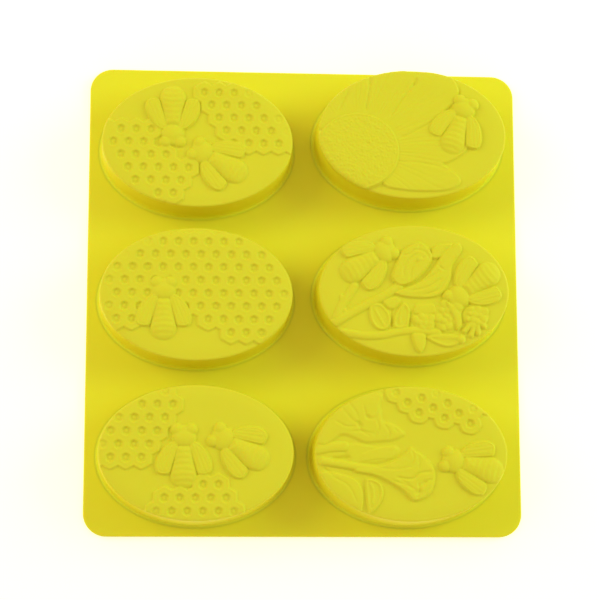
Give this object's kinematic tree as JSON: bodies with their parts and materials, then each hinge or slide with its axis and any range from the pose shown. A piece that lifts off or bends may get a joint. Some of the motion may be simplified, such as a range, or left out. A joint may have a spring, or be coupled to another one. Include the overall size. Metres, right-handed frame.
{
  "type": "silicone soap mould",
  "caption": "Flexible one-piece soap mould: oval cups with bee, honeycomb and flower relief on a thin rounded rectangular sheet, lying open side down.",
  "frame": {"origin": "middle of the sheet's open face, the plane that every cavity opens on, which lies on the table", "axes": "+Z out of the closed ends of the cups, +Y along the columns of cups (the longest side), +X across the two columns"},
  "size_m": [0.19, 0.207, 0.0239],
  "materials": {
    "silicone": "satin yellow silicone"
  },
  "bodies": {
    "root": {"sheet": "silicone", "bee_pair_cup_wall": "silicone", "bee_pair_cup_floor": "silicone", "sunflower_cup_wall": "silicone", "sunflower_cup_floor": "silicone", "honeycomb_cup_wall": "silicone", "honeycomb_cup_floor": "silicone", "tulip_cup_wall": "silicone", "tulip_cup_floor": "silicone", "comb_corner_cup_wall": "silicone", "comb_corner_cup_floor": "silicone", "lily_cup_wall": "silicone", "lily_cup_floor": "silicone"}
  },
  "joints": []
}
